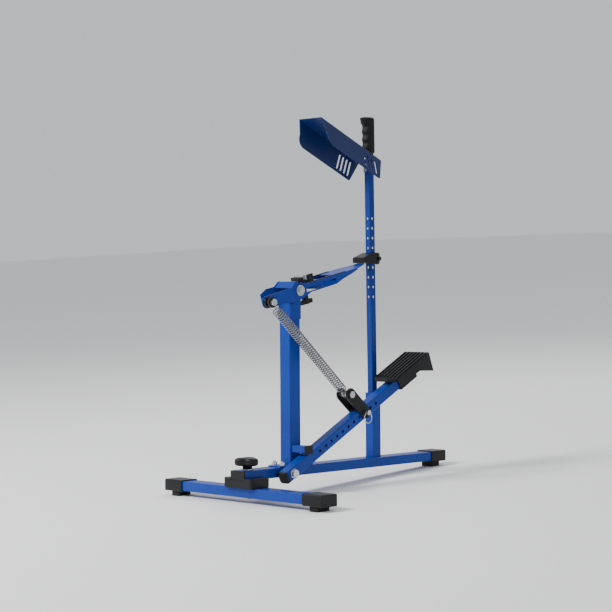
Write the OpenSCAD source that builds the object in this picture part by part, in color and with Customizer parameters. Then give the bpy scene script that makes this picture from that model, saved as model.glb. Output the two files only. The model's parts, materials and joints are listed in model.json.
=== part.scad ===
// Spring-driven, foot-operated ball pitching machine.
// The frame modules work in the frame's own axes: X across, Y along the base tube towards the
// operator, Z along the posts. on_floor() leans that frame back so that its feet stand on z = 0.
// The ball leaves towards -Y.

/* [Base] */
// Backward lean of the frame on level ground, in degrees
frame_tilt = 3.4; // [3.2:0.1:3.6]
// Width of the base tube and of the crossbar
base_w = 50; // [48:1:52]
// Height of the base tube and of the crossbar
base_h = 25; // [24:0.5:26]
// Wall of every steel tube
wall = 2; // [1.5:0.25:2.5]
// Half of the overall width across the crossbar caps
half_span = 289; // [270:1:310]
// Rear end of the base tube's cap
base_rear = 735; // [725:1:760]

/* [Posts] */
// Side of the square main post
post_w = 38; // [36:1:40]
// Top of the main post
post_top = 503; // [490:1:503]
// Side of the square sleeve that holds the upright
sleeve_w = 30; // [30:0.5:31]
// Top of the sleeve
sleeve_top = 258; // [230:1:270]
// Side of the square upright
upright_w = 19; // [18:0.5:19]
// Forward lean of the upright in its sleeve, in degrees
upright_lean = 0.785; // [0.7:0.005:0.85]

/* [Throwing arm] */
// Rise of the throwing arm at rest, in degrees
arm_rise = 12.5; // [12:0.1:12.6]
// Half of the outer width of the throwing arm
arm_half = 33.5; // [33:0.5:34]
// Half of the side of the square hole that the ball sits in
seat_half = 27.5; // [26:0.5:28]

/* [Pedal] */
// Rise of the pedal lever at rest, in degrees
lever_rise = 28; // [27:0.1:28]
// Side of the square lever tube
lever_w = 30; // [29:0.5:30]
// Distance between the lever's adjusting holes
hole_pitch = 24; // [22:0.5:24]

/* [Guard] */
// Fall of the guard towards the rear, in degrees
guard_fall = 24.2; // [20:0.1:27]
// Length of the guard along its fold
guard_len = 250; // [230:1:260]

/* [Hidden] */
$fn = 48;
gap = 0.3;                 // play between faces on different bodies
fit = 0.05;                // radial play of a pin in its bore
tube_r = 2.5;              // outer corner radius of a tube
bar_z = 14.5;              // underside of the crossbar
saddle_z = bar_z + base_h + 0.2; // underside of the saddle
base_z = 58;               // underside of the base tube
base_top = base_z + base_h;
saddle_w = 104;
saddle_front = -36;
saddle_rear = 30;
saddle_top = 64;
stud_r = 5;
plug_t = 4;
cap_wall = 2.8;
cap_len = 66;
cap_end = 4;
post_y = 153;
flange_t = 3;
stub_y = 149;
stub_z = 127.8;
sleeve_y = 467;
rock_y = 467.5;            // hinge of the upright
rock_z = 98;
rock_r = 4;
upright_len = 900;
strap_bolts = [764, 776];   // bolts that hold the guard to the upright
arm_y = 158.5;             // hinge of the throwing arm
arm_z = 536;
axle_r = 5;
sheet = 3;                 // sheet thickness of the throwing arm
arm_in = arm_half - sheet;
deck_w = 11.5;             // top of the arm's deck above its hinge
spring_u = -121;           // spring bolt on the throwing arm
spring_w = -3.5;
lever_x = 45;              // middle plane of the lever and of the spring
pedal_y = 105;             // hinge of the pedal lever
pedal_z = 69.5;
pedal_r = 6;
hole_first = 110;
hole_count = 11;
hook_s = 275;              // spring bolt on the slider, in lever axes
hook_h = 71;
lock_s = hole_first + 8 * hole_pitch;
lock_r = 3.95;
// The lock pin's shank stops just outside the lever's wall.
pin_tip = 60.2;
coil_r = 13.5;
wire_r = 1.8;
coil_start = 29;
coil_split = 244;          // where the spring's two coil lengths meet
latch_l = 512;             // height of the catch above the upright's hinge
black = [0.05, 0.05, 0.055];
blue = [0.12, 0.28, 0.65];
navy = [0.06, 0.16, 0.42];
zinc = [0.75, 0.77, 0.8];

// Ends of the whole object along Y, which centre it on the origin.
y_low = saddle_front * cos(frame_tilt) + saddle_z * sin(frame_tilt);
y_high = base_rear * cos(frame_tilt) + (base_top + cap_wall) * sin(frame_tilt);

// Where the spring starts and ends in frame axes.
spring_y0 = arm_y + spring_u * cos(arm_rise) - spring_w * sin(arm_rise);
spring_z0 = arm_z + spring_u * sin(arm_rise) + spring_w * cos(arm_rise);
spring_y1 = pedal_y + hook_s * cos(lever_rise) - hook_h * sin(lever_rise);
spring_z1 = pedal_z + hook_s * sin(lever_rise) + hook_h * cos(lever_rise);
spring_len = norm([spring_y1 - spring_y0, spring_z1 - spring_z0]);
spring_drop = atan2(spring_z0 - spring_z1, spring_y1 - spring_y0);

// ---- shared shapes ----

function arc(c, r, a0, a1, n = 8) =
    [for (i = [0:n]) let (a = a0 + (a1 - a0) * i / n) [c[0] + r * cos(a), c[1] + r * sin(a)]];

function rounded(w, h, r) = concat(
    arc([w / 2 - r, h / 2 - r], r, 0, 90, 4), arc([r - w / 2, h / 2 - r], r, 90, 180, 4),
    arc([r - w / 2, r - h / 2], r, 180, 270, 4), arc([w / 2 - r, r - h / 2], r, 270, 360, 4));

// Outline of a link with two round ends.
function link(a, ra, b, rb) = let (d = atan2(b[1] - a[1], b[0] - a[0]))
    concat(arc(a, ra, d + 90, d + 270, 12), arc(b, rb, d - 90, d + 90, 12));

module on_floor() translate([0, -(y_low + y_high) / 2, 0]) rotate([-frame_tilt, 0, 0]) children();
module arm_axes() translate([0, arm_y, arm_z]) rotate([arm_rise, 0, 0]) children();
module lever_axes() translate([0, pedal_y, pedal_z]) rotate([lever_rise, 0, 0]) children();
module upright_axes() translate([0, rock_y, rock_z]) rotate([upright_lean, 0, 0]) children();
module guard_axes() translate([0, 461, 884.5]) rotate([-guard_fall, 0, 0]) children();
module spring_axes() translate([lever_x, spring_y0, spring_z0]) rotate([-90 - spring_drop, 0, 0])
    children();

// Turns a shape drawn along Z so that it runs along X or along Y.
module along_x() rotate([0, 90, 0]) children();
module along_y() rotate([-90, 0, 0]) children();

// A flat shape drawn in Y and Z, from x = x0 to x1.
module plate_x(x0, x1) translate([x0, 0, 0]) rotate([90, 0, 90]) linear_extrude(x1 - x0) children();

module rod_x(x0, x1, r, y = 0, z = 0) translate([x0, y, z]) along_x() cylinder(r = r, h = x1 - x0);
module rod_y(y0, y1, r, x = 0, z = 0) translate([x, y0, z]) along_y() cylinder(r = r, h = y1 - y0);
module hex_x(x0, x1, flats, y = 0, z = 0)
    translate([x0, y, z]) along_x() cylinder(r = flats / sqrt(3), h = x1 - x0, $fn = 6);

module box(x0, x1, y0, y1, z0, z1) translate([x0, y0, z0]) cube([x1 - x0, y1 - y0, z1 - z0]);

module ring_x(x0, x1, r_out, r_in, y = 0, z = 0) difference() {
    rod_x(x0, x1, r_out, y, z);
    rod_x(x0 - 1, x1 + 1, r_in, y, z);
}

module hollow(w, h, len, t = wall, r = tube_r) linear_extrude(len) difference() {
    polygon(rounded(w, h, r));
    polygon(rounded(w - 2 * t, h - 2 * t, 0.6));
}

// ---- base ----

module crossbar() color(blue) on_floor() difference() {
    translate([cap_end - half_span, 0, bar_z + base_h / 2]) along_x()
        hollow(base_h, base_w, 2 * (half_span - cap_end));
    translate([0, 0, bar_z - 1]) cylinder(r = stud_r + fit, h = base_h + 2);
}

// End cap with a pocket for a tube; drawn for the +X end of a tube centred on the X axis.
module tube_cap(len) difference() {
    translate([-len, 0, 0]) along_x()
        linear_extrude(len) polygon(rounded(base_h + 2 * cap_wall, base_w + 2 * cap_wall, 4));
    translate([-len - 1, 0, 0]) along_x()
        linear_extrude(len + 1 - cap_end) polygon(rounded(base_h, base_w, tube_r));
}

module crossbar_cap(side) color(black) on_floor()
    translate([side * half_span, 0, bar_z + base_h / 2]) mirror([side < 0 ? 1 : 0, 0, 0]) tube_cap(cap_len);
module crossbar_cap_left() crossbar_cap(-1);
module crossbar_cap_right() crossbar_cap(1);

module rear_cap() color(black) on_floor()
    translate([0, base_rear, base_z + base_h / 2]) rotate([0, 0, 90]) tube_cap(58);

// A rubber foot under a cap, trimmed level with the floor.
module foot(x, y, len_x, len_y, top) color([0.09, 0.09, 0.09]) difference() {
    on_floor() translate([x, y, top - 30]) linear_extrude(30) polygon(rounded(len_x, len_y, 5));
    translate([-500, -1000, -100]) cube([1000, 2000, 100]);
}
module foot_left() foot(-256, 0, 32, 42, bar_z - cap_wall);
module foot_right() foot(256, 0, 32, 42, bar_z - cap_wall);
module foot_rear() foot(0, 702, 42, 32, base_z - cap_wall);

module saddle() color(black) on_floor() difference() {
    translate([0, (saddle_front + saddle_rear) / 2, saddle_z])
        linear_extrude(saddle_top - saddle_z)
        polygon(rounded(saddle_w, saddle_rear - saddle_front, 8));
    box(-base_w / 2, base_w / 2, -50, 50, base_z, 80);
    translate([0, 0, 30]) cylinder(r = stud_r + fit, h = 40);
}

module base_tube() color(blue) on_floor() difference() {
    translate([0, saddle_front + 1 + plug_t, base_z + base_h / 2]) along_y()
        hollow(base_w, base_h, base_rear - cap_end - saddle_front - 1 - plug_t);
    translate([0, 0, base_z - 1]) cylinder(r = stud_r + fit, h = base_h + 2);
    rod_x(-40, 40, pedal_r + fit, pedal_y, pedal_z);
    for (x = [-15, 15], y = [109, 197]) translate([x, y, base_top - 5]) cylinder(r = 4 + fit, h = 10);
}

module base_plug() color(black) on_floor() difference() {
    union() {
        translate([0, saddle_front + 1, base_z + base_h / 2]) along_y()
            linear_extrude(plug_t) polygon(rounded(base_w, base_h, tube_r));
        translate([0, saddle_front + 1 + plug_t, base_z + base_h / 2]) along_y()
            linear_extrude(14) polygon(rounded(base_w - 2 * wall - 0.2, base_h - 2 * wall - 0.2, 1));
    }
    translate([0, 0, base_z + base_h / 2]) cube([38, 60, 15], center = true);
}

module clamp_stud() color(zinc) on_floor() {
    translate([0, 0, 9]) cylinder(r = stud_r, h = 95);
    translate([0, 0, 9.5]) cylinder(r1 = 9, r2 = 12, h = bar_z - 9.7);
}

module clamp_washer() color(zinc) on_floor() difference() {
    translate([0, 0, base_top]) cylinder(r = 15, h = 2);
    translate([0, 0, base_top - 1]) cylinder(r = stud_r + fit, h = 4);
}

// Knob with round lobes and a bored stem; drawn standing on z = 0.
module lobed_knob(lobes, hub, lobe, reach, stem_r, stem_h, body_h, bore_r, bore_h) difference() {
    union() {
        cylinder(r = stem_r, h = stem_h + 1);
        translate([0, 0, stem_h]) linear_extrude(body_h) polygon([for (a = [0:5:355])
            let (r = hub + (reach + lobe - hub) * pow((1 + cos(lobes * (a - 15))) / 2, 0.7))
            [r * cos(a), r * sin(a)]]);
    }
    translate([0, 0, -1]) cylinder(r = bore_r, h = bore_h + 1);
}

module clamp_knob() color(black) on_floor() translate([0, 0, base_top + 2 + gap])
    lobed_knob(3, 20, 13, 20, 12.5, 8, 20, stud_r + fit, 20);

// ---- main post ----

module post_flange() color(blue) on_floor() difference() {
    translate([0, post_y, base_top]) linear_extrude(flange_t) polygon(rounded(base_w - 2, 122, 6));
    for (x = [-15, 15], y = [109, 197]) translate([x, y, base_top - 1]) cylinder(r = 4 + fit, h = 10);
}

module flange_bolts() color(zinc) on_floor() for (x = [-15, 15], y = [109, 197]) translate([x, y, 0]) {
    translate([0, 0, base_top - 6]) cylinder(r = 4, h = 20);
    translate([0, 0, base_top + flange_t + 1.6]) cylinder(r = 7.5, h = 6.5, $fn = 6);
    translate([0, 0, base_top + flange_t]) cylinder(r = 8.5, h = 1.6);
}

module main_post() color(blue) on_floor()
    translate([0, post_y, base_top + flange_t]) hollow(post_w, post_w, post_top - base_top - flange_t);

module stop_stub() color(blue) on_floor()
    translate([post_w / 2, stub_y, stub_z]) along_x() hollow(19, 22, 48, 1.5, 2);

module stub_cap() color(black) on_floor() {
    translate([post_w / 2 + 48, stub_y, stub_z]) along_x() linear_extrude(7) polygon(rounded(22, 24, 3));
    translate([post_w / 2 + 38, stub_y, stub_z]) along_x() linear_extrude(11) polygon(rounded(15.8,
        18.8, 1));
}

// Two cheeks that carry the arm's axle on top of the post.
module pivot_yoke() color(blue) on_floor() difference() {
    union() {
        for (s = [0, 1]) mirror([s, 0, 0]) plate_x(post_w / 2, post_w / 2 + 3) union() {
            translate([134, 462]) square([38, 40]);
            translate([arm_y - 8, 495]) square([21, arm_z - 495]);
            translate([arm_y, arm_z]) circle(r = 17);
        }
    }
    rod_x(-40, 40, axle_r + fit, arm_y, arm_z);
}

// Rubber block on top of the post that stops the throwing arm.
module arm_bumper() color(black) on_floor() {
    box(-16.8, 16.8, 136.5, 169.5, 488, post_top);
    box(-18, 18, 151, 171, post_top, 505.5);
}

// ---- upright and its sleeve ----

module rear_sleeve() color(blue) on_floor() difference() {
    translate([0, sleeve_y, base_top]) hollow(sleeve_w, sleeve_w, sleeve_top - base_top);
    rod_x(-30, 30, rock_r + fit, rock_y, rock_z);
}

module sleeve_buffer() color(black) on_floor()
    box(-10, 10, sleeve_y + sleeve_w / 2 - wall - 1.5, sleeve_y + sleeve_w / 2 - wall, 215, 250);

module rock_bolt() color(blue) on_floor() rod_x(-14.9, 14.9, rock_r, rock_y, rock_z);

module upright() color(navy) on_floor() upright_axes() difference() {
    translate([0, 0, -8]) hollow(upright_w, upright_w, upright_len + 8, 1.5, 2);
    rod_x(-30, 30, rock_r + fit);
    for (i = [0:8]) translate([0, 0, 419.5 + i * 26.5]) {
        rod_y(-20, 20, 3.5);
        rod_x(-20, 20, 3.5);
    }
    for (z = strap_bolts) rod_y(-20, 20, 3 + fit, 0, z);
}

module hand_grip() color(black) on_floor() upright_axes() difference() {
    union() {
        translate([0, 0, 806]) linear_extrude(97) polygon(rounded(29, 30, 9));
        translate([0, -17, 880]) rotate([0, 0, 0]) linear_extrude(20) polygon(rounded(22, 14, 5));
        translate([0, -18, 886]) along_x() translate([0, 0, -10]) cylinder(r = 6, h = 20);
    }
    translate([0, 0, 800]) linear_extrude(92 + 8) polygon(rounded(upright_w, upright_w, 2));
    for (z = [831, 853, 875]) rod_x(-20, 20, 9, -22.5, z);
}

// ---- catch ----

module latch_block() color(black) on_floor() upright_axes() translate([0, 0, latch_l]) difference() {
    union() {
        plate_x(-21, 21) polygon([[-47.3, -0.3], [-47.3, 13], [-44, 15], [-8, 27], [0, 27], [0, -3],
            [-8, -3]]);
        box(-12.6, 12.6, -1, 12.6, -3, 27);
        rod_y(12, 14, 9, 0, 12);
    }
    box(-upright_w / 2 - 0.2, upright_w / 2 + 0.2, -upright_w / 2 - 0.2, upright_w / 2 + 0.2, -20, 60);
    rod_y(5, 30, 4 + fit, 0, 12);
}

module latch_knob() color(black) on_floor() upright_axes() translate([0, 14 + gap, latch_l + 12]) along_y()
    lobed_knob(5, 13, 5, 12, 9, 2, 12, 4 + fit, 1.2);

module latch_screw() color(zinc) on_floor() upright_axes()
    rod_y(upright_w / 2 + 0.2, 14 + gap + 1, 4, 0, latch_l + 12);

// ---- guard ----

guard_side = concat([[0, 0], [0, 54]], arc([-4, 54], 4, 0, 90, 4), arc([-190, 22], 36, 90, 165, 10),
    [[-guard_len, 0]]);

module slot(y) translate([y, 32]) rotate([0, 0, -20]) {
    translate([-3.2, -16]) square([6.4, 32]);
    for (v = [-16, 16]) translate([0, v]) circle(r = 3.2);
}

module guard() color(navy) on_floor() guard_axes() {
    difference() {
        box(-41, 41, -guard_len, 0, -2, 0);
        box(-10.6, 10.6, -16, 1, -5, 5);
        for (x = [-14, 14]) translate([x, -34, -5]) cylinder(r = 3 + fit, h = 10);
    }
    for (s = [0, 1]) mirror([s, 0, 0]) translate([41, 0, 0]) rotate([0, -17, 0]) mirror([0, 0, 1])
        plate_x(-2, 0) difference() {
            polygon(guard_side);
            for (i = [0:3]) slot(-21 - 14.8 * i);
        }
}

// Strap from the upright's front face to the guard's roof.
module guard_bracket() color(navy) on_floor() difference() {
    union() {
        guard_axes() box(-20, 20, -44, -20, -5, -2);
        guard_axes() box(-9, 9, -22, -14.8, -5, -2);
        upright_axes() box(-9, 9, -12.4, -9.5, 757, 789);
    }
    guard_axes() for (x = [-14, 14]) translate([x, -34, -9]) cylinder(r = 3 + fit, h = 10);
    upright_axes() for (z = strap_bolts) rod_y(-20, 0, 3 + fit, 0, z);
}

module guard_bolts() color(zinc) on_floor() {
    guard_axes() for (x = [-14, 14]) translate([x, -34, 0]) {
        translate([0, 0, -9]) cylinder(r = 3, h = 10);
        cylinder(r = 5.5, h = 3);
        translate([0, 0, -9.5]) cylinder(r = 5.77, h = 4.5, $fn = 6);
    }
    upright_axes() for (z = strap_bolts) {
        rod_y(-14, 13, 3, 0, z);
        rod_y(-15.4, -12.4, 5.5, 0, z);
        rod_y(9.5, 13.5, 5, 0, z);
    }
}

// ---- throwing arm ----

near_outline = concat(arc([spring_u, spring_w], 16, 90, 270, 12), [[-60, -21], [-25, -25], [5, -23],
    [40, -13], [136, -13],
    [165, -5], [200, 1], [224, 7.5], [224, deck_w], [4, deck_w], [-4, 25.5], [-11, 26], [-29, 12.5]]);
far_outline = [[-78, -17], [-60, -21], [-25, -25], [5, -23], [40, -13], [136, -13], [165, -5], [200,
    1], [224, 7.5],
    [224, deck_w], [4, deck_w], [-4, 25.5], [-11, 26], [-27, 16], [-56, 17], [-80, 7]];

module windows() {
    translate([24, -10]) square([52, 10]);
    translate([88, -10]) square([50, 12]);
}

module throw_arm() color(blue) on_floor() arm_axes() difference() {
    union() {
        plate_x(arm_in, arm_half) difference() {
            polygon(near_outline);
            windows();
        }
        plate_x(-arm_half, -arm_in) polygon(far_outline);
        rod_x(post_w / 2 + 3 + gap, arm_in + 1, 9);
        rod_x(-arm_in - 1, -post_w / 2 - 3 - gap, 9);
    }
    rod_x(-50, 50, axle_r + fit);
    rod_x(0, 50, 5 + fit, spring_u, spring_w);
}

module arm_hood() color(blue) on_floor() arm_axes() plate_x(-arm_in, arm_in)
    polygon([[-27, 13], [-10, 25.5], [-4.5, 25.2], [-5, 23], [-9, 23.2], [-25.4, 11.2]]);

// Plate that closes the arm's underside behind the ball stop's knob.
module arm_web() color(blue) on_floor() arm_axes() plate_x(-arm_in, arm_in)
    polygon([[76, -13], [136, -13], [165, -5], [200, 1], [200, 3], [165, -3], [136, -11], [76, -11]]);

deck_outline = [[-arm_in, 36], [arm_in, 36], [arm_in, 225], [12, 273], [-12, 273], [-arm_in, 225]];

module arm_deck() color(blue) on_floor() arm_axes() difference() {
    intersection() {
        translate([0, 0, -20]) linear_extrude(60) polygon(deck_outline);
        plate_x(-60, 60) polygon([[30, deck_w - sheet], [240, deck_w - sheet], [275, deck_w - 1.2],
            [275, deck_w + 1.8],
            [240, deck_w], [30, deck_w]]);
    }
    box(-seat_half, seat_half, 110 - seat_half, 110 + seat_half, 0, 20);
    box(-4, 4, 42, 72, 0, 20);
}

module rail_trims() color(black) on_floor() arm_axes() for (s = [0, 1]) mirror([s, 0, 0])
    box(arm_in - 2.5, arm_half, 56, 176, deck_w, deck_w + 1.5);

module arm_axle() color(zinc) on_floor() {
    rod_x(-42, 36, axle_r, arm_y, arm_z);
    hex_x(35.9, 42, 17, arm_y, arm_z);
    hex_x(-44, -35.9, 17, arm_y, arm_z);
}

module axle_washers() color(zinc) on_floor() for (s = [0, 1]) mirror([s, 0, 0])
    ring_x(arm_half + gap, 35.9, 14, axle_r + fit, arm_y, arm_z);

module spring_bolt() color(zinc) on_floor() arm_axes() {
    rod_x(22, 55, 5, spring_u, spring_w);
    hex_x(54.5, 61, 17, spring_u, spring_w);
    hex_x(24, arm_in, 15, spring_u, spring_w);
}

module spring_spacers() color(black) on_floor() arm_axes() {
    ring_x(arm_half, lever_x - 4, 14, 5 + fit, spring_u, spring_w);
    ring_x(lever_x + 4, 54.5, 14, 5 + fit, spring_u, spring_w);
}

module spring_bush() color([0.8, 0.8, 0.75]) on_floor() arm_axes()
    ring_x(lever_x - 3.6, lever_x + 3.6, 6.7, 5 + fit, spring_u, spring_w);

module ball_stop() color(black) on_floor() arm_axes() difference() {
    union() {
        box(-34, 34, 38, 54, deck_w + 1.5 + gap, 20);
        box(-34, 6, 38, 54, 19, 25);
        box(28, 34, 38, 54, 19, 34);
    }
    translate([0, 46, 0]) cylinder(r = 3.5 + fit, h = 24);
}

module stop_nut() color(zinc) on_floor() arm_axes() translate([17, 46, 20]) cylinder(r = 9.2, h = 12,
    $fn = 6);

// The ball stop's clamping screw, with its T-shaped knob below the arm.
module stop_screw() color(zinc) on_floor() arm_axes() translate([0, 46, -30]) cylinder(r = 3.5, h = 53);

module stop_knob() color(black) on_floor() arm_axes() translate([0, 46, 0]) difference() {
    union() {
        translate([0, 0, -46]) cylinder(r = 9, h = 22);
        translate([0, 0, -41]) box(-6, 6, -20, 20, -5, 6);
    }
    translate([0, 0, -30]) cylinder(r = 3.5 + fit, h = 20);
}

// ---- pedal lever ----

module pedal_lever() color(blue) on_floor() lever_axes() difference() {
    translate([lever_x, -19, 0]) along_y() hollow(lever_w, lever_w, 539);
    rod_x(0, 90, pedal_r + fit);
    for (i = [0:hole_count - 1]) rod_x(0, 90, lock_r + fit, hole_first + i * hole_pitch);
    for (s = pad_bolts) translate([lever_x, s, -20]) cylinder(r = 2 + fit, h = 10);
}

module lever_cap() color(black) on_floor() lever_axes() {
    translate([lever_x, -26, 0]) along_y()
        linear_extrude(7) polygon(rounded(lever_w + 0.6, lever_w + 0.6, 4));
    translate([lever_x, -19.5, 0]) along_y()
        linear_extrude(9) polygon(rounded(lever_w - 4.2, lever_w - 4.2, 1));
}

module pedal_bolt() color(zinc) on_floor() {
    rod_x(-36, 66, pedal_r, pedal_y, pedal_z);
    hex_x(62.3, 70, 19, pedal_y, pedal_z);
    hex_x(-34, -25, 19, pedal_y, pedal_z);
    ring_x(lever_x + lever_w / 2 + gap, 62.3, 12, pedal_r - 1, pedal_y, pedal_z);
}

module lever_spacer() color(black) on_floor()
    ring_x(base_w / 2, lever_x - lever_w / 2 - gap, 12, pedal_r + fit, pedal_y, pedal_z);

pad_bolts = [470, 505];
pad_x0 = 16;
pad_x1 = 104;
pad_top = 39;
pad_outline = [[414, 15.5], [503, 12.5], [551, -15], [558, pad_top], [416, pad_top]];
pad_hollow = [[417, 0], [500, 0], [540, -60], [548.5, -20], [555, pad_top - 4], [419, pad_top - 4]];

module foot_pad() color(black) on_floor() lever_axes() difference() {
    union() {
        difference() {
            plate_x(pad_x0, pad_x1) polygon(pad_outline);
            plate_x(pad_x0 + 3, pad_x1 - 3) polygon(pad_hollow);
        }
        box(lever_x - 19, lever_x + 19, 452, 524, -18.5, pad_top - 2);
        for (i = [0:6])
            box(pad_x0 + 4 + i * 12.67, pad_x0 + 8 + i * 12.67, 420, 554, pad_top - 1, pad_top + 2.5);
    }
    box(pad_x0 - 1, pad_x1 - 3, 405, 421, 0, 27);
    box(pad_x0 - 1, lever_x - 19, 405, 452, 0, 27);
    box(lever_x - 15.1, lever_x + 15.1, 410, 520.5, -15.1, 15.1);
    for (s = pad_bolts) translate([lever_x, s, -25]) cylinder(r = 2 + fit, h = 12);
}

module pad_screws() color(zinc) on_floor() lever_axes() for (s = pad_bolts)
    translate([lever_x, s, -20.5]) {
        cylinder(r = 4.5, h = 2);
        cylinder(r = 2, h = 6.5);
    }

// ---- spring slider ----

module slider_bracket() color(black) on_floor() lever_axes() difference() {
    union() {
        for (x = [lever_x - 19, lever_x + 15.3])
            plate_x(x, x + 3.7) polygon(link([lock_s, 0], 16.5, [hook_s, hook_h], 17));
        box(lever_x - 17, lever_x + 17, lock_s - 21, lock_s + 10, 15.4, 19.4);
    }
    rod_x(0, 90, 5 + fit, hook_s, hook_h);
    rod_x(0, 90, lock_r + fit, lock_s);
}

module slider_bolt() color(zinc) on_floor() lever_axes() {
    rod_x(17, 66, 5, hook_s, hook_h);
    hex_x(64, 70, 17, hook_s, hook_h);
    hex_x(18, 26, 17, hook_s, hook_h);
    ring_x(lever_x - 15.3, lever_x - 4, 8, 4.9, hook_s, hook_h);
    ring_x(lever_x + 4, lever_x + 15.3, 8, 4.9, hook_s, hook_h);
}

module lock_pin() color(zinc) on_floor() lever_axes() difference() {
    union() {
        rod_x(pin_tip, 66, lock_r, lock_s);
        rod_x(64 + gap, 76, 6.5, lock_s);
    }
    translate([71, lock_s, 0]) rotate([-lever_rise, 0, 0])
        along_y() cylinder(r = 3.2, h = 20, center = true);
}

// Pull ring that hangs in the pin's cross hole.
module lock_ring() color(zinc) on_floor()
    translate([71, pedal_y + lock_s * cos(lever_rise), pedal_z + lock_s * sin(lever_rise) - 14])
    along_x() rotate_extrude() translate([14, 0]) circle(r = 1.2);

// ---- spring ----

module hook_ring(t) translate([0, 0, t]) along_x() rotate_extrude() translate([9, 0]) circle(r = wire_r);

module spring_hook_top() color(zinc) on_floor() spring_axes() {
    hook_ring(0);
    translate([0, 0, 9]) cylinder(r = wire_r, h = coil_start - 8);
    translate([0, 0, coil_start]) cylinder(r = coil_r - 2 * wire_r, h = 2);
}

module coil_length(t0, t1) difference() {
    translate([0, 0, t0]) cylinder(r = coil_r, h = t1 - t0);
    translate([0, 0, t0 - 1]) cylinder(r = coil_r - 2 * wire_r, h = t1 - t0 + 2);
}

module spring_coil_upper() color(zinc) on_floor() spring_axes() coil_length(coil_start, coil_split);
module spring_coil_lower() color(zinc) on_floor() spring_axes() coil_length(coil_split, spring_len - 20);

module spring_hook_bottom() color(zinc) on_floor() spring_axes() {
    hook_ring(spring_len);
    translate([0, 0, spring_len - 22]) cylinder(r = wire_r, h = 13);
    translate([0, 0, spring_len - 22]) cylinder(r = coil_r - 2 * wire_r, h = 2);
}

module spring_bush_bottom() color([0.8, 0.8, 0.75]) on_floor() lever_axes()
    ring_x(lever_x - 3.6, lever_x + 3.6, 6.7, 5 + fit, hook_s, hook_h);

crossbar();
crossbar_cap_left();
crossbar_cap_right();
foot_left();
foot_right();
clamp_stud();
clamp_washer();
clamp_knob();
saddle();
base_tube();
base_plug();
rear_cap();
foot_rear();
post_flange();
flange_bolts();
main_post();
stop_stub();
stub_cap();
pivot_yoke();
arm_bumper();
rear_sleeve();
sleeve_buffer();
rock_bolt();
upright();
hand_grip();
latch_block();
latch_screw();
latch_knob();
guard();
guard_bracket();
guard_bolts();
throw_arm();
arm_hood();
arm_web();
arm_deck();
rail_trims();
arm_axle();
axle_washers();
spring_bolt();
spring_spacers();
spring_bush();
ball_stop();
stop_nut();
stop_screw();
stop_knob();
pedal_lever();
lever_cap();
pedal_bolt();
lever_spacer();
foot_pad();
pad_screws();
slider_bracket();
slider_bolt();
lock_pin();
lock_ring();
spring_hook_top();
spring_coil_upper();
spring_coil_lower();
spring_hook_bottom();
spring_bush_bottom();
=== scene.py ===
import json
import math

import bpy
import numpy as np
from mathutils import Matrix, Vector


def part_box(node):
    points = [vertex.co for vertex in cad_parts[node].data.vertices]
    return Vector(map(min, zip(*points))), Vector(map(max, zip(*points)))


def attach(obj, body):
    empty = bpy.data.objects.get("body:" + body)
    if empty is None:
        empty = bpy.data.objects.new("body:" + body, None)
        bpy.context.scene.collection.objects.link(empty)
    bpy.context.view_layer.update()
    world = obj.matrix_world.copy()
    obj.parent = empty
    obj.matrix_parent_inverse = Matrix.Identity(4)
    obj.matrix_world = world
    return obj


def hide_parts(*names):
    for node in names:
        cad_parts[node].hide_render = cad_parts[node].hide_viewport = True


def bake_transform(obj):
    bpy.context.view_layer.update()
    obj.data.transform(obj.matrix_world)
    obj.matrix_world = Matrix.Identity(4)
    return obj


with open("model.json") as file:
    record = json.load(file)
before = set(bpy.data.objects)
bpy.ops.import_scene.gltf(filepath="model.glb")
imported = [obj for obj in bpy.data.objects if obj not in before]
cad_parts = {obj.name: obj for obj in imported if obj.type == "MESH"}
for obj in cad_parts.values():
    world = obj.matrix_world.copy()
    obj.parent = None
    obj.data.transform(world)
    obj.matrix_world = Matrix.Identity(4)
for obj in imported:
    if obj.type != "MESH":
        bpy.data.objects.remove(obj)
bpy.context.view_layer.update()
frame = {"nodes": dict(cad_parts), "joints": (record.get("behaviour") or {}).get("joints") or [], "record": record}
JOINTS = {j["name"]: j for j in frame["joints"]}
SLOTS = {s["node"]: s["material_slot"] for s in frame["record"]["subparts"]}
X_AXIS = Vector((1, 0, 0))


# ---- materials ----

SHEEN = 0.22


def links(tree, *pairs):
    for out, into in pairs:
        tree.links.new(out, into)


def noise(tree, coords, scale, detail, rough=0.55):
    node = tree.nodes.new("ShaderNodeTexNoise")
    node.inputs["Scale"].default_value = scale
    node.inputs["Detail"].default_value = detail
    node.inputs["Roughness"].default_value = rough
    links(tree, (coords, node.inputs["Vector"]))
    return node.outputs["Fac"]


def spread(tree, value, low, high, to_low, to_high):
    node = tree.nodes.new("ShaderNodeMapRange")
    for key, number in zip(("From Min", "From Max", "To Min", "To Max"), (low, high, to_low, to_high)):
        node.inputs[key].default_value = number
    links(tree, (value, node.inputs["Value"]))
    return node.outputs["Result"]


def mixed(tree, factor, first, second):
    node = tree.nodes.new("ShaderNodeMix")
    node.data_type = "RGBA"
    links(tree, (factor, node.inputs["Factor"]))
    for socket, colour in ((node.inputs["A"], first), (node.inputs["B"], second)):
        if isinstance(colour, tuple):
            socket.default_value = (*colour, 1)
        else:
            links(tree, (colour, socket))
    return node.outputs["Result"]


def multiplied(tree, a, b):
    node = tree.nodes.new("ShaderNodeMath")
    node.operation = "MULTIPLY"
    links(tree, (a, node.inputs[0]), (b, node.inputs[1]))
    return node.outputs[0]


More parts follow.
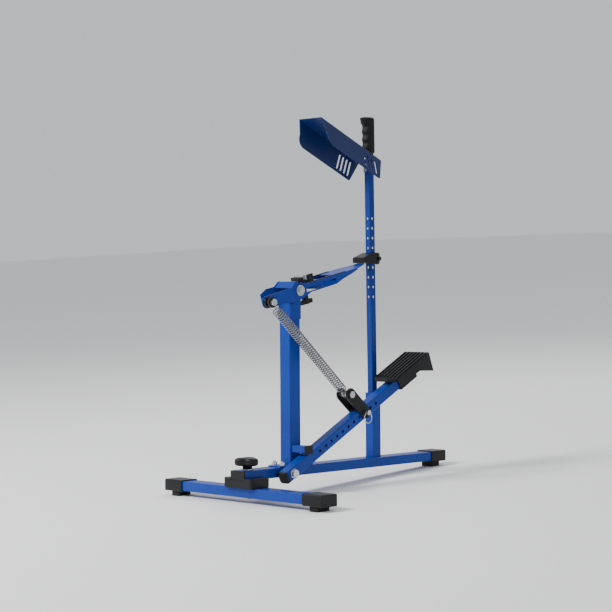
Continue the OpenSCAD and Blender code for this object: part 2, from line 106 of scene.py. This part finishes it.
def surface(name, base, shade, edge_wear_and_highlight, rough, metal, grain, depth, edge, coat=0.0):
    """A scuffed surface: cloudy colour, grain in the relief, uneven gloss and lighter rubbed edges; on black
    plastic the lighter edge colour is a painted highlight.
    """
    made = bpy.data.materials.new(name)
    made.use_nodes = True
    tree = made.node_tree
    shader = tree.nodes["Principled BSDF"]
    coords = tree.nodes.new("ShaderNodeTexCoord").outputs["Object"]
    cloud = noise(tree, coords, 9, 5)
    fine = noise(tree, coords, grain, 3)
    scuffs = noise(tree, coords, 70, 6, 0.7)
    round_edge = tree.nodes.new("ShaderNodeBevel")
    round_edge.samples = 4
    round_edge.inputs["Radius"].default_value = edge
    face = tree.nodes.new("ShaderNodeNewGeometry")
    turn = tree.nodes.new("ShaderNodeVectorMath")
    turn.operation = "DOT_PRODUCT"
    links(tree, (round_edge.outputs["Normal"], turn.inputs[0]), (face.outputs["Normal"], turn.inputs[1]))
    # Edge mask: edges take the lighter edge colour, rubbed paint or metal on most looks and a painted highlight on
    # black plastic.
    worn_and_highlit_edges = multiplied(tree, spread(tree, turn.outputs["Value"], 0.97, 0.82, 0, 1),
                      spread(tree, scuffs, 0.5, 0.66, 0, 0.8))
    body = mixed(tree, spread(tree, cloud, 0.35, 0.65, 0, 1), base, shade)
    bump = tree.nodes.new("ShaderNodeBump")
    bump.inputs["Strength"].default_value = 0.35
    bump.inputs["Distance"].default_value = depth
    links(tree,
          (mixed(tree, worn_and_highlit_edges, body, edge_wear_and_highlight), shader.inputs["Base Color"]),
          (spread(tree, scuffs, 0.3, 0.7, rough * 0.92, min(1, rough * 1.12)), shader.inputs["Roughness"]),
          (fine, bump.inputs["Height"]),
          (round_edge.outputs["Normal"], bump.inputs["Normal"]),
          (bump.outputs["Normal"], shader.inputs["Normal"]))
    shader.inputs["Metallic"].default_value = metal
    shader.inputs["Specular IOR Level"].default_value = SHEEN
    shader.inputs["Coat Weight"].default_value = coat
    shader.inputs["Coat Roughness"].default_value = 0.18
    return made


LOOKS = {
    "blue_coat": surface(
        "blue_coat", base=(0.0008, 0.036, 0.285), shade=(0.0006, 0.029, 0.245), edge_wear_and_highlight=(0.04, 0.11, 0.38),
        rough=0.34, metal=0.0, grain=900, depth=0.0004, edge=0.0011, coat=0.04),
    "post_blue": surface(
        "post_blue", base=(0.0006, 0.026, 0.20), shade=(0.0005, 0.021, 0.17), edge_wear_and_highlight=(0.03, 0.09, 0.28),
        rough=0.36, metal=0.0, grain=900, depth=0.0004, edge=0.0009, coat=0.04),
    "guard_navy": surface(
        "guard_navy", base=(0.0006, 0.014, 0.095), shade=(0.0005, 0.012, 0.080), edge_wear_and_highlight=(0.02, 0.05, 0.16),
        rough=0.34, metal=0.0, grain=900, depth=0.0003, edge=0.0008, coat=0.05),
    # The grey-blue edge colour here is a painted highlight along edges and ribs.
    "black_plastic": surface(
        "black_plastic", base=(0.005, 0.005, 0.006), shade=(0.009, 0.009, 0.010), edge_wear_and_highlight=(0.05, 0.055, 0.065),
        rough=0.36, metal=0.0, grain=1600, depth=0.0003, edge=0.0016),
    "rubber": surface(
        "rubber", base=(0.006, 0.006, 0.006), shade=(0.011, 0.011, 0.010), edge_wear_and_highlight=(0.04, 0.04, 0.038),
        rough=0.60, metal=0.0, grain=1200, depth=0.0005, edge=0.0016),
    "zinc": surface(
        "zinc", base=(0.58, 0.60, 0.63), shade=(0.50, 0.52, 0.55), edge_wear_and_highlight=(0.78, 0.79, 0.80),
        rough=0.24, metal=0.95, grain=350, depth=0.0001, edge=0.0006),
    "spring_steel": surface(
        "spring_steel", base=(0.33, 0.34, 0.35), shade=(0.24, 0.25, 0.26), edge_wear_and_highlight=(0.60, 0.61, 0.62),
        rough=0.26, metal=0.9, grain=350, depth=0.0001, edge=0.0004),
    "bush": surface(
        "bush", base=(0.58, 0.57, 0.50), shade=(0.50, 0.49, 0.43), edge_wear_and_highlight=(0.66, 0.65, 0.60),
        rough=0.40, metal=0.0, grain=900, depth=0.0002, edge=0.0005),
}
LOOKS["navy_coat"] = LOOKS["post_blue"]
for node_name, cad in frame["nodes"].items():
    cad.data.materials.clear()
    is_guard = node_name.startswith("guard") and node_name != "guard_bolts"
    cad.data.materials.append(LOOKS["guard_navy" if is_guard else SLOTS[node_name]])


# ---- meshes ----

def mesh_piece(name, points, faces, look, body=None, smooth=True):
    data = bpy.data.meshes.new(name)
    data.from_pydata([tuple(p) for p in points], [], faces)
    data.update()
    for polygon in data.polygons:
        polygon.use_smooth = smooth
    data.materials.append(LOOKS[look])
    made = bpy.data.objects.new(name, data)
    bpy.context.scene.collection.objects.link(made)
    if body:
        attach(made, body)
    return made


def loft(rings, caps=True):
    """Vertices and faces of a skin over rings of equal count."""
    count = len(rings[0])
    faces = []
    for i in range(len(rings) - 1):
        for k in range(count):
            n = (k + 1) % count
            faces.append((i * count + k, i * count + n, (i + 1) * count + n, (i + 1) * count + k))
    if caps:
        faces.append(tuple(reversed(range(count))))
        faces.append(tuple(range((len(rings) - 1) * count, len(rings) * count)))
    return [p for ring in rings for p in ring], faces


def wire(name, path, radius, look, body=None, sides=12):
    """A round wire swept along a list of points."""
    path = [Vector(p) for p in path]
    rings, side = [], None
    for i, p in enumerate(path):
        ahead = (path[min(i + 1, len(path) - 1)] - path[max(i - 1, 0)]).normalized()
        if side is None:
            side = ahead.orthogonal().normalized()
        side = (side - ahead * side.dot(ahead)).normalized()
        up = ahead.cross(side)
        rings.append([p + radius * (math.cos(a) * side + math.sin(a) * up)
                      for a in np.linspace(0, 2 * math.pi, sides, endpoint=False)])
    return mesh_piece(name, *loft(rings), look, body)


def centre(node):
    low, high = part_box(node)
    return (low + high) / 2


# ---- spring ----

WIRE_R = 0.0015
COIL_R = 0.0119
LOOP_R = 0.0089
PITCH = 0.0074
STEPS_PER_TURN = 22
spring_foot = Vector(JOINTS["spring_follow"]["pos_m"])
spring_up = Vector(JOINTS["spring_stretch"]["axis"]).normalized()
spring_head = centre("spring_bush")
spring_len = (spring_head - spring_foot).length
across = spring_up.cross(X_AXIS).normalized()
coil_lo = 0.020
coil_hi = spring_len - 0.029
coil_mid = (centre("spring_coil_lower") - spring_foot).dot(spring_up) * 2 - coil_lo


def on_coil(s):
    angle = 2 * math.pi * (s - coil_lo) / PITCH
    return spring_foot + spring_up * s + COIL_R * (math.cos(angle) * X_AXIS + math.sin(angle) * across)


def coil(name, s0, s1, node):
    steps = int((s1 - s0) / PITCH * STEPS_PER_TURN)
    path = [on_coil(s0 + (s1 - s0) * i / steps) for i in range(steps + 1)]
    made = wire(name, path, WIRE_R, "spring_steel", sides=10)
    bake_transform(made)
    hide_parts(node)


def hook(name, centre_at, away, coil_end, body, node):
    """A loop round the bolt, joined to the coil's end by a bent shank. away points from bolt to coil."""
    turn_to = X_AXIS.cross(away)
    loop = [centre_at + LOOP_R * (math.cos(a) * away + math.sin(a) * turn_to)
            for a in np.linspace(math.radians(335), 0, 40)]
    start, finish = loop[-1], coil_end
    shank = []
    for i in range(1, 17):
        t = i / 16
        ease = t * t * (3 - 2 * t)
        along = (finish - centre_at).dot(away)
        s = LOOP_R + (along - LOOP_R) * t
        side = (finish - centre_at) - away * along
        shank.append(centre_at + away * s + side * ease)
    made = wire(name, loop + shank, WIRE_R, "spring_steel", body)
    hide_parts(node)


coil("spring_coil_foot_end", coil_lo, coil_mid, "spring_coil_lower")
coil("spring_coil_arm_end", coil_mid, coil_hi, "spring_coil_upper")
hook("spring_hook_foot_end", spring_foot, spring_up, on_coil(coil_lo), "spring_low", "spring_hook_bottom")
hook("spring_hook_arm_end", spring_head, -spring_up, on_coil(coil_hi), "spring_high", "spring_hook_top")


# ---- grip ----

post_up = Vector(JOINTS["catch_height"]["axis"]).normalized()
post_foot = Vector(JOINTS["upright_release"]["pos_m"])
post_back = post_up.cross(X_AXIS).normalized()
if post_back.y < 0:
    post_back = -post_back
GRIP_LO = 0.806
GRIP_HI = 0.905
GRIP_HALF = 0.0150
GRIP_ROUND = 0.006
FINGER_PITCH = 0.022
LIP_FROM = 0.880


def grip_ring(h, grow):
    """An oval round the upright, with finger waves in front and a rounded shoulder."""
    wave = 0.5 - 0.5 * math.cos(2 * math.pi * (h - GRIP_LO - GRIP_ROUND) / FINGER_PITCH)
    front = 0.0155 + 0.0035 * wave
    lip = max(0, (h - LIP_FROM) / FINGER_PITCH)
    front += 0.013 * min(1, lip) ** 1.5 if lip else 0
    ring = []
    for a in np.linspace(0, 2 * math.pi, 48, endpoint=False):
        c, s = math.cos(a), math.sin(a)
        x = GRIP_HALF * math.copysign(abs(c) ** 0.8, c)
        y = (GRIP_HALF if s > 0 else front) * math.copysign(abs(s) ** 0.8, s)
        ring.append(post_foot + post_up * h + X_AXIS * x * grow + post_back * y * grow)
    return ring


grip_rings = []
for h in np.linspace(GRIP_LO, GRIP_HI, 60):
    edge_gap = min(h - GRIP_LO, GRIP_HI - h)
    turned_in = max(0, 1 - edge_gap / GRIP_ROUND)
    shrink = 1 - 0.35 * (1 - math.sqrt(max(0, 1 - turned_in ** 2)))
    grip_rings.append(grip_ring(h, shrink))
grip = mesh_piece("grip_sleeve", *loft(grip_rings), "rubber", "rocker")
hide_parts("hand_grip")


# ---- lobed knobs ----

def knob(name, joint, node, lobes, hub, reach, stem, heights, look, body):
    """A knob with rounded lobes turned about its joint's axis. heights: stem foot, body foot, top."""
    axis = Vector(JOINTS[joint]["axis"]).normalized()
    side = X_AXIS
    other = axis.cross(side)
    foot = centre(node) - axis * heights[2] / 2

    def ring(h, scale, round_r=None):
        points = []
        for a in np.linspace(0, 2 * math.pi, 96, endpoint=False):
            r = round_r if round_r else hub + (reach - hub) * ((1 + math.cos(lobes * a)) / 2) ** 0.7
            outward = math.cos(a) * side + math.sin(a) * other
            points.append(foot + axis * float(h) + outward * float(scale * r))
        return points

    thick = heights[2] - heights[1]
    rings = [ring(0, 1, stem), ring(heights[1], 1, stem)]
    for t in np.linspace(0, 1, 13):
        bulge = 1 - 0.22 * abs(2 * t - 1) ** 5
        rings.append(ring(heights[1] + thick * t, bulge))
    rings.append(ring(heights[2] - 0.0015, 0.45))
    made = mesh_piece(name, *loft(rings), look, body)
    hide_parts(node)


knob("clamp_handwheel", "clamp_turn", "clamp_knob", lobes=3, hub=0.020, reach=0.033, stem=0.0125,
     heights=(0, 0.008, 0.028), look="black_plastic", body="clamp")
knob("catch_handwheel", "catch_turn", "latch_knob", lobes=5, hub=0.013, reach=0.017, stem=0.009,
     heights=(0, 0.002, 0.014), look="black_plastic", body="catch_screw")


# ---- stage ----

floor_mesh = bpy.data.meshes.new("studio_floor")
floor_mesh.from_pydata([(-30, -30, 0), (30, -30, 0), (30, 30, 0), (-30, 30, 0)], [], [(0, 1, 2, 3)])
floor = bpy.data.objects.new("studio_floor", floor_mesh)
bpy.context.scene.collection.objects.link(floor)
floor_look = bpy.data.materials.new("studio_floor")
floor_look.use_nodes = True
floor_shader = floor_look.node_tree.nodes["Principled BSDF"]
floor_shader.inputs["Base Color"].default_value = (0.86, 0.86, 0.85, 1)
floor_shader.inputs["Roughness"].default_value = 0.9
floor_mesh.materials.append(floor_look)


def lamp(name, where, size, power):
    data = bpy.data.lights.new(name, "AREA")
    data.size, data.energy = size, power
    made = bpy.data.objects.new(name, data)
    bpy.context.scene.collection.objects.link(made)
    made.location = where
    made.rotation_mode = "QUATERNION"
    made.rotation_quaternion = (Vector((0, 0, 0.45)) - Vector(where)).to_track_quat("-Z", "Y")


lamp("key", (-1.6, -3.4, 3.2), size=1.2, power=250)
lamp("fill", (3.4, -0.4, 1.6), size=2.6, power=8)
lamp("rim", (-1.2, 2.6, 3.0), size=2.0, power=45)
world = bpy.data.worlds.new("studio")
world.use_nodes = True
world.node_tree.nodes["Background"].inputs["Color"].default_value = (0.80, 0.82, 0.85, 1)
world.node_tree.nodes["Background"].inputs["Strength"].default_value = 0.85
bpy.context.scene.world = world

CAMERA_AT = Vector((3.3033, -3.3900, 0.7185))
CAMERA_TURN = math.radians(45.137)
CAMERA_PITCH = math.radians(-0.515)
CAMERA_ROLL = math.radians(-0.365)
FRAME_TILT = Matrix.Rotation(math.radians(-3.4), 3, "X")
ahead = Vector((-math.sin(CAMERA_TURN) * math.cos(CAMERA_PITCH),
                math.cos(CAMERA_TURN) * math.cos(CAMERA_PITCH), math.sin(CAMERA_PITCH)))
level = Vector((math.cos(CAMERA_TURN), math.sin(CAMERA_TURN), 0))
over = level.cross(ahead)
right = level * math.cos(CAMERA_ROLL) + over * math.sin(CAMERA_ROLL)
upward = over * math.cos(CAMERA_ROLL) - level * math.sin(CAMERA_ROLL)
turned = Matrix([FRAME_TILT @ right, FRAME_TILT @ upward, FRAME_TILT @ -ahead]).transposed()
cam_data = bpy.data.cameras.new("photo_view")
cam_data.sensor_width = 36
cam_data.lens = 104.9
cam_data.clip_end = 100
cam = bpy.data.objects.new("photo_view", cam_data)
bpy.context.scene.collection.objects.link(cam)
cam.matrix_world = Matrix.Translation(CAMERA_AT) @ turned.to_4x4()
bpy.context.scene.camera = cam
